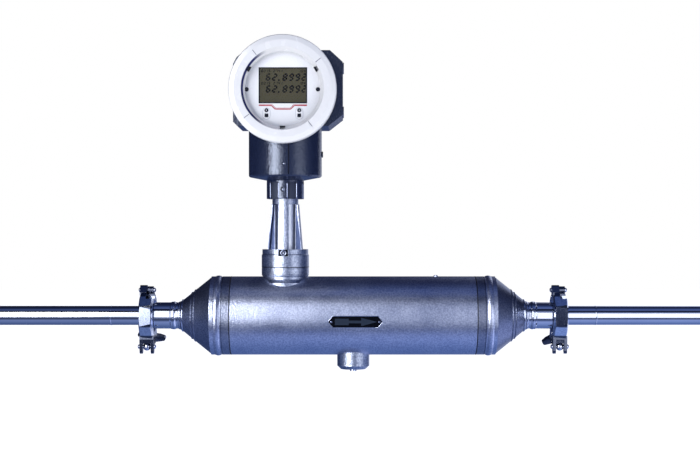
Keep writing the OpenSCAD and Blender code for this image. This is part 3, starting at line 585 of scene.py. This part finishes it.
def add_prisms(name, outlines, y_front, thickness, look, body):
    """Thin closed solids that face -Y, one for each outline of (x, z) points."""
    vertices = []
    faces = []
    for outline in outlines:
        first = len(vertices)
        count = len(outline)
        vertices += [(x, y_front, z) for x, z in outline]
        vertices += [(x, y_front + thickness, z) for x, z in outline]
        faces.append(tuple(range(first, first + count)))
        faces.append(tuple(range(first + 2 * count - 1, first + count - 1, -1)))
        for i in range(count):
            j = (i + 1) % count
            faces.append((first + i, first + j, first + count + j, first + count + i))
    add_mesh(name, vertices, faces, look, body)


def add_tube(name, path, radius, look, body, closed=True, sides=10, ripple=0.0, waves=0):
    """A round bead along a path, with an even ripple like a weld's."""
    count = len(path)
    path = [Vector(p) for p in path]
    vertices = []
    faces = []
    for i, point in enumerate(path):
        after = path[(i + 1) % count] if closed or i + 1 < count else point
        before = path[i - 1] if closed or i > 0 else point
        along = (after - before).normalized()
        side = along.cross(Vector((0.3, 0.1, 1.0))).normalized()
        up = side.cross(along)
        r = radius * (1 + ripple * math.sin(2 * math.pi * waves * i / count))
        for k in range(sides):
            t = 2 * math.pi * k / sides
            vertices.append(point + r * (math.cos(t) * side + math.sin(t) * up))
    rings = count if closed else count - 1
    for i in range(rings):
        for k in range(sides):
            a = i * sides + k
            b = i * sides + (k + 1) % sides
            c = (i + 1) % count * sides + (k + 1) % sides
            d = (i + 1) % count * sides + k
            faces.append((a, b, c, d))
    if not closed:
        faces.append(tuple(range(sides)))
        faces.append(tuple(range((count - 1) * sides, count * sides)))
    add_mesh(name, vertices, faces, look, body, smooth=True)


def add_domes(name, centres, radius, height, look, body):
    """Low round heads that stand out towards -Y."""
    out = Vector((0, -1, 0))
    side = out.cross(Vector((0.1, 0.3, 1.0))).normalized()
    up = out.cross(side)
    rings, sides = 6, 24
    vertices = []
    faces = []
    for centre in centres:
        first = len(vertices)
        centre = Vector(centre)
        for i in range(rings):
            t = math.pi / 2 * i / rings
            for k in range(sides):
                a = 2 * math.pi * k / sides
                spread = radius * math.cos(t) * (math.cos(a) * side + math.sin(a) * up)
                vertices.append(centre + spread + out * height * math.sin(t))
        vertices.append(centre + out * height)
        top = len(vertices) - 1
        for i in range(rings - 1):
            for k in range(sides):
                a = first + i * sides + k
                b = first + i * sides + (k + 1) % sides
                faces.append((a, b, b + sides, a + sides))
        last = first + (rings - 1) * sides
        for k in range(sides):
            faces.append((last + k, last + (k + 1) % sides, top))
        faces.append(tuple(first + k for k in reversed(range(sides))))
    add_mesh(name, vertices, faces, look, body, smooth=True)


def circle_path(centre, radius, across, up, count):
    """Points in space on a circle, in the plane of the axes across and up."""
    path = []
    for i in range(count):
        t = 2 * math.pi * i / count
        point = list(centre)
        point[across] += radius * math.cos(t)
        point[up] += radius * math.sin(t)
        path.append(point)
    return path


def upright_path(x, y, low, high, steps):
    return [(x, y, low + (high - low) * i / steps) for i in range(steps + 1)]


def circle_points(x, z, radius, count, start=0.0, sweep=360.0):
    """(x, z) points on a circle or an arc, in degrees from +X towards +Z."""
    steps = count if sweep >= 360.0 else count - 1
    turns = [math.radians(start + sweep * i / steps) for i in range(count)]
    return [(x + radius * math.cos(t), z + radius * math.sin(t)) for t in turns]


def rectangle(x, z, half_w, half_h):
    return [(x - half_w, z - half_h), (x + half_w, z - half_h),
            (x + half_w, z + half_h), (x - half_w, z + half_h)]


def band(inner, outer):
    """Outlines of the quads between two closed loops with as many points each."""
    outlines = []
    for i in range(len(inner)):
        j = (i + 1) % len(inner)
        outlines.append([outer[i], outer[j], inner[j], inner[i]])
    return outlines


# ---------- display ----------

LCD_BORDER = 2 * MM
INK_DEPTH = 0.12 * MM
SEGMENTS = {
    "0": "abcdef", "1": "bc", "2": "abged", "3": "abgcd", "4": "fgbc",
    "5": "afgcd", "6": "afgedc", "7": "abc", "8": "abcdefg", "9": "abcdfg",
}
SLANT = 0.22
# The stroke is a part of a digit's height, the others are parts of the pitch
STROKE, DIGIT_WIDTH, POINT_WIDTH = 0.19, 0.74, 0.62
# Numbers on the display, in mm from its window's upper left corner: text, left end, top, height
# and pitch
BIG_NUMBERS = (
    ("62.8992", 7.8, 7.2, 9.6, 8.15),
    ("62.8992", 7.8, 22.4, 9.6, 8.15),
)
SMALL_NUMBERS = (
    ("0015 2741", 2.4, 2.2, 3.6, 3.1),
    ("104", 50.4, 2.2, 3.6, 3.1),
    ("0015 2741", 2.4, 18.0, 3.6, 3.1),
    ("104", 50.4, 18.0, 3.6, 3.1),
)


def digit_bars(digit, x, z, width, height, stroke):
    """The lit bars of a seven-segment digit, as outlines from its lower left corner."""
    half = stroke / 2
    low = z + half
    mid = z + height / 2
    top = z + height - half
    left = x + half
    right = x + width - half
    ends = {
        "a": ((left, top), (right, top)), "b": ((right, mid), (right, top)),
        "c": ((right, low), (right, mid)), "d": ((left, low), (right, low)),
        "e": ((left, low), (left, mid)), "f": ((left, mid), (left, top)),
        "g": ((left, mid), (right, mid)),
    }
    bars = []
    for key in SEGMENTS[digit]:
        (ax, az), (bx, bz) = ends[key]
        length = math.hypot(bx - ax, bz - az)
        ux, uz = (bx - ax) / length, (bz - az) / length
        nx, nz = -uz * half, ux * half
        trim = half * 0.25
        ax, az = ax + ux * trim, az + uz * trim
        bx, bz = bx - ux * trim, bz - uz * trim
        bars.append([
            (ax, az),
            (ax + ux * half + nx, az + uz * half + nz), (bx - ux * half + nx, bz - uz * half + nz),
            (bx, bz),
            (bx - ux * half - nx, bz - uz * half - nz), (ax + ux * half - nx, az + uz * half - nz),
        ])
    return bars


def number_bars(text, x, z, height, pitch):
    """Outlines of a slanted number in plain seven-segment digits."""
    stroke = height * STROKE
    bars = []
    for sign in text:
        if sign == ".":
            bars.append([(x, z), (x + stroke, z), (x + stroke, z + stroke), (x, z + stroke)])
            x += pitch * POINT_WIDTH
            continue
        if sign != " ":
            bars += digit_bars(sign, x, z, pitch * DIGIT_WIDTH, height, stroke)
        x += pitch
    return [[(px + (pz - z) * SLANT, pz) for px, pz in bar] for bar in bars]


def add_numbers(name, numbers, left, top):
    """One piece from all the numbers of a size, printed on the display."""
    bars = []
    for text, start, drop, height, pitch in numbers:
        z = top - (drop + height) * MM
        bars += number_bars(text, left + start * MM, z, height * MM, pitch * MM)
    add_prisms(name, bars, lcd_y - INK_DEPTH, INK_DEPTH, "lcd_ink", "transmitter_head")


def add_display():
    x, z = middle(lcd_box, X), middle(lcd_box, Z)
    half_w = half_size(lcd_box, X) - LCD_BORDER
    half_h = half_size(lcd_box, Z) - LCD_BORDER
    add_numbers("display_digits", BIG_NUMBERS, x - half_w, z + half_h)
    add_numbers("display_small_digits", SMALL_NUMBERS, x - half_w, z + half_h)
    add_window_frame_and_shadow(x, z, half_w, half_h)
    add_red_line(x, z - half_h)
    add_key_marks()
    add_plate_dots()


def add_window_frame_and_shadow(x, z, half_w, half_h):
    """Dark frame round the window, partly its own dark edge and partly painted shadow inside the window: a frame
    of four mitred bars that laps its edge.
    """
    lap, border, thickness = 0.9 * MM, 0.6 * MM, 0.15 * MM
    inner = rectangle(x, z, half_w - lap, half_h - lap)
    outer = rectangle(x, z, half_w + border, half_h + border)
    add_prisms("window_frame_and_shadow", band(inner, outer), plate_y - thickness, thickness,
               "window_edge", "transmitter_head")


def add_red_line(x, lcd_foot):
    """Red rule under the window with a dip in its middle, and a thinner one above it."""
    # In mm: half the rule's length, and the dip's depth, half its width at the top and at the foot
    end, dip, dip_top, dip_foot = 30.8, 4.6, 14.6, 9.8
    for name, drop, width, inward in (
        ("red_rule", 3.4, 1.4, 0.0),
        ("red_rule_thin", 2.0, 0.5, 0.6),
    ):
        z = lcd_foot - drop * MM
        top, foot = dip_top - inward, dip_foot - inward
        run = [(-end, 0), (-top, 0), (-foot, -dip), (foot, -dip), (top, 0), (end, 0)]
        half = width / 2
        bars = []
        for (ax, az), (bx, bz) in zip(run, run[1:]):
            length = math.hypot(bx - ax, bz - az)
            nx, nz = -(bz - az) / length * half, (bx - ax) / length * half
            quad = [(ax - nx, az - nz), (bx - nx, bz - nz), (bx + nx, bz + nz), (ax + nx, az + nz)]
            bars.append([(x + px * MM, z + pz * MM) for px, pz in quad])
        add_prisms(name, bars, plate_y - INK_DEPTH, INK_DEPTH,
                   "red_ink", "transmitter_head")


def add_key_marks():
    """On each key a dark ring above a dark square, and a thin grey outline round it."""
    key_r = 4.5 * MM
    ring_up, ring_r, ring_hole_r = 4.2 * MM, 2.6 * MM, 0.7 * MM
    square_down, square_half = 2.4 * MM, 2.4 * MM
    outline_w, outline_depth = 0.5 * MM, 0.2 * MM
    z = middle(keys_box, Z)
    straight = half_size(keys_box, Z) - key_r
    front = keys_box[0][Y]

    def key_outline(x, r):
        upper = circle_points(x, z + straight, r, 13, 0, 180)
        return upper + circle_points(x, z - straight, r, 13, 180, 180)

    rings = []
    squares = []
    outlines = []
    for x in (keys_box[0][X] + key_r, keys_box[1][X] - key_r):
        rings += band(circle_points(x, z + ring_up, ring_hole_r, 24),
                      circle_points(x, z + ring_up, ring_r, 24))
        squares.append(rectangle(x, z - square_down, square_half, square_half))
        outlines += band(key_outline(x, key_r), key_outline(x, key_r + outline_w))
    for name, marks in (("key_rings", rings), ("key_squares", squares)):
        add_prisms(name, marks, front - INK_DEPTH, INK_DEPTH,
                   "black_ink", "transmitter_head")
    add_prisms("key_outlines", outlines, plate_y - outline_depth, outline_depth,
               "grey_ink", "transmitter_head")


def add_plate_dots():
    """Black screw caps at both sides of the window."""
    cap_r, cap_h = 2.8 * MM, 0.4 * MM
    dots = [circle_points(neck_x + x * MM, head_z, cap_r, 32) for x in (-46.4, 44.9)]
    add_prisms("plate_dots", dots, plate_y - cap_h, cap_h,
               "black_ink", "transmitter_head")


# Marks on the cover, painted shade in its grooves and notches: name, angles, corners outward and sideways, depth
# and thickness, and look.
# Lengths are in mm
COVER_MARKS = (
    ("cover_groove_shade", (38, 128, 218, 308),
     ((53.6, -0.46), (61.6, -0.46), (61.6, 0.46), (53.6, 0.46)), 0.45, 0.5, "groove_grey"),
    ("cover_notch_shadows", (30, 150, 270),
     ((47.6, -3.6), (50.1, -3.0), (50.1, 3.0), (47.6, 3.6)), 3.4, 4.0, "black_ink"),
)


def add_cover_marks():
    """Painted shade on the cover: a grey floor in its four grooves, and dark pads in its three key notches."""
    for name, angles, corners, depth, thickness, look in COVER_MARKS:
        outlines = []
        for angle in angles:
            t = math.radians(angle)
            c, s = math.cos(t), math.sin(t)
            turned = [(c * out - s * side, s * out + c * side) for out, side in corners]
            outlines.append([(neck_x + x * MM, head_z + z * MM) for x, z in turned])
        add_prisms(name, outlines, ring_box[0][Y] + depth * MM, thickness * MM,
                   look, "front_cover")


# ---------- welds, marks and threads ----------

# Beads at each end, in mm: name, distance from the middle, radius of the ring and of the bead,
# and the number of ripples
END_BEADS = (
    ("throat_outer_weld", 238.0, 15.6, 3.0, 36),
    ("throat_inner_weld", 229.6, 15.8, 3.0, 36),
    ("cone_weld", 226.4, 20.4, 1.2, 44),
)
SEAM_X = 162.0 * MM


def saddle_path(centre_x, radius_at, sign, count):
    """Where a round foot on the shell's top (1) or underside (-1) meets the shell."""
    path = []
    for i in range(count):
        t = 2 * math.pi * i / count
        r = radius_at(shell_r)
        for _ in range(6):
            z = math.sqrt(max(shell_r ** 2 - (r * math.sin(t)) ** 2, 0))
            r = radius_at(z)
        path.append((centre_x + r * math.cos(t), r * math.sin(t), sign * z))
    return path


def add_foot_welds():
    """Rippled beads round the feet of the neck socket and the drain boss."""
    taper_low, taper_high, taper = 44 * MM, 48.6 * MM, 4.1 * MM

    def socket_foot(z):
        part = min(max((z - taper_low) / (taper_high - taper_low), 0), 1)
        return socket_r - 0.2 * MM - part * taper

    def boss_foot(_):
        return half_size(boss_box, X) - 2.0 * MM

    add_tube("neck_weld_bead", saddle_path(neck_x, socket_foot, 1, 240), 1.1 * MM,
             "weld_steel", "meter", ripple=0.16, waves=48)
    add_tube("drain_weld_bead", saddle_path(middle_x, boss_foot, -1, 180), 1.2 * MM,
             "weld_steel", "meter", ripple=0.16, waves=40)


def add_end_welds():
    """Rippled beads on the throats and cones, and painted shadow in the open seams beside the end rings."""
    for end, way in (("inlet", -1), ("outlet", 1)):
        for name, x, radius, bead, waves in END_BEADS:
            path = circle_path((middle_x + way * x * MM, 0, 0), radius * MM, Y, Z, 144)
            add_tube(end + "_" + name, path, bead * MM,
                     "bead_steel", "meter", sides=24, ripple=0.01, waves=waves)
        path = circle_path((middle_x + way * SEAM_X, 0, 0), shell_r - 0.5 * MM, Y, Z, 180)
        add_tube(end + "_shell_seam_shadow", path, 0.75 * MM,
                 "seam_shadow", "meter", sides=12)


def add_column_line():
    """Casting line down the front of the column, right of its middle."""
    column_r, right = 48.5 * MM, 6.3 * MM
    low, high = collar_box[1][Z] + 6.8 * MM, head_z - 47 * MM
    y = -math.sqrt(column_r ** 2 - right ** 2)
    add_tube("column_casting_line", upright_path(neck_x + right, y, low, high, 24), 0.7 * MM,
             "casting_line", "transmitter_head", closed=False, sides=8)


def add_arrow_rim():
    """Bright cut edge round the arrow plate, and a round head at each of its tips."""
    nose, rivet_in, steps = 6 * MM, 4.2 * MM, 12
    edge_out, rivet_back = 0.5 * MM, 0.7 * MM
    z, half_h = middle(arrow_box, Z), half_size(arrow_box, Z)
    left, right = arrow_box[0][X], arrow_box[1][X]
    corners = [
        (left, z), (left + nose, z + half_h), (right - nose, z + half_h),
        (right, z), (right - nose, z - half_h), (left + nose, z - half_h),
    ]
    path = []
    for (ax, az), (bx, bz) in zip(corners, corners[1:] + corners[:1]):
        for k in range(steps):
            px = ax + (bx - ax) * k / steps
            pz = az + (bz - az) * k / steps
            path.append((px, -math.sqrt((shell_r + edge_out) ** 2 - pz ** 2), pz))
    add_tube("arrow_plate_edge", path, 0.5 * MM, "edge_steel", "meter", sides=8)
    y = arrow_box[0][Y] + rivet_back
    tips = [(left + rivet_in, y, z), (right - rivet_in, y, z)]
    add_domes("arrow_plate_rivets", tips, 1.6 * MM, 0.9 * MM, "plug_steel", "meter")


def add_socket_lines():
    """Painted shadow: a dark ring in the socket's turned groove, and a dark sheet on the floor of its key slot."""
    groove_z = 64.6 * MM
    slot_left, slot_half_w, floor_y = 1.3 * MM, 5.6 * MM, -26.0 * MM
    path = circle_path((neck_x, 0, groove_z), socket_r - 0.3 * MM, X, Y, 144)
    add_tube("socket_groove_shadow", path, 0.55 * MM, "seam_shadow", "meter")
    low, high = key_screw_box[0][Z] - 0.2 * MM, socket_box[1][Z] - 0.1 * MM
    floor = rectangle(neck_x - slot_left, (low + high) / 2, slot_half_w, (high - low) / 2)
    add_prisms("key_slot_shadow", [floor], floor_y, 0.4 * MM, "black_ink", "meter")


def add_lug_edges():
    """Bright steel strips on the edges of the collar's lugs: painted highlights that stand in for the light caught
    by their chamfered edges.
    """
    # In degrees from the front: how far the first lug is turned, and half a lug's width
    lugs, first_turn, half_lug = 6, -5.8, 14.0
    r = half_size(collar_box, X) - 0.5 * MM
    low, high = collar_box[0][Z] + 0.4 * MM, collar_box[1][Z] - 2.4 * MM
    for number in range(lugs):
        for sign, letter in ((-1, "a"), (1, "b")):
            t = math.radians(-90 + first_turn + 360 / lugs * number + sign * half_lug)
            path = upright_path(neck_x + r * math.cos(t), r * math.sin(t), low, high, 8)
            add_tube("collar_lug_edge_%d%s" % (number + 1, letter), path, 0.8 * MM,
                     "lug_edge", "transmitter_head", closed=False, sides=12)


def front_of(box):
    """Middle of a box's front face."""
    return middle(box, X), box[0][Y], middle(box, Z)


def add_screw_points():
    """A rim and a round point on the set screw, the key screw and the column's front screw."""
    column_screw_r = 2.2 * MM
    column_place = (neck_x, column_screws_box[0][Y], column_screws_box[0][Z] + column_screw_r)
    # Name, place, slot, body, radius of the rim and its bead in mm, and the rim's look
    screws = (
        ("collar_set_screw", front_of(set_screw_box), "navy_paint", "transmitter_head",
         2.9, 0.7, "black_ink"),
        ("neck_key_screw", front_of(key_screw_box), "cast_steel", "meter",
         3.3, 0.6, "bead_steel"),
        ("column_screw", column_place, "navy_paint", "transmitter_head",
         2.3, 0.5, "black_ink"),
    )
    for name, (x, y, z), slot, body, rim, bead, look in screws:
        path = circle_path((x, y + 0.2 * MM, z), rim * MM, X, Z, 36)
        add_tube(name + "_rim", path, bead * MM, look, body)
        add_domes(name + "_point", [(x, y + 0.6 * MM, z)], 1.5 * MM, 1.4 * MM,
                  "polished_steel", body)


def add_bolt_threads():
    """Helical ridge on each swing bolt, from its plain neck to its end."""
    start, stop, pitch, per_turn = 21.0 * MM, 56.4 * MM, 1.0 * MM, 16
    thread_r, ridge_r = 2.62 * MM, 0.3 * MM
    joints = {joint["name"]: joint for joint in frame["joints"]}
    side = Vector((1, 0, 0))
    for end in ("inlet", "outlet"):
        along = Vector(joints[end + "_nut_turn"]["axis"])
        eye = Vector(joints[end + "_bolt_swing"]["pos_m"])
        up = along.cross(side)
        path = []
        for i in range(int((stop - start) / pitch * per_turn)):
            t = 2 * math.pi * i / per_turn
            out = thread_r * (math.cos(t) * side + math.sin(t) * up)
            path.append(eye + along * (start + pitch * i / per_turn) + out)
        add_tube(end + "_bolt_thread", path, ridge_r, "polished_steel",
                 end + "_swing_bolt", closed=False, sides=6)


# ---------- build ----------

add_camera()
add_floor()
add_world()
add_panels()
materials = make_materials()
dress_cad()
add_display()
add_cover_marks()
add_foot_welds()
add_end_welds()
add_column_line()
add_arrow_rim()
add_socket_lines()
add_lug_edges()
add_screw_points()
add_bolt_threads()
bpy.context.scene.view_settings.view_transform = "Standard"
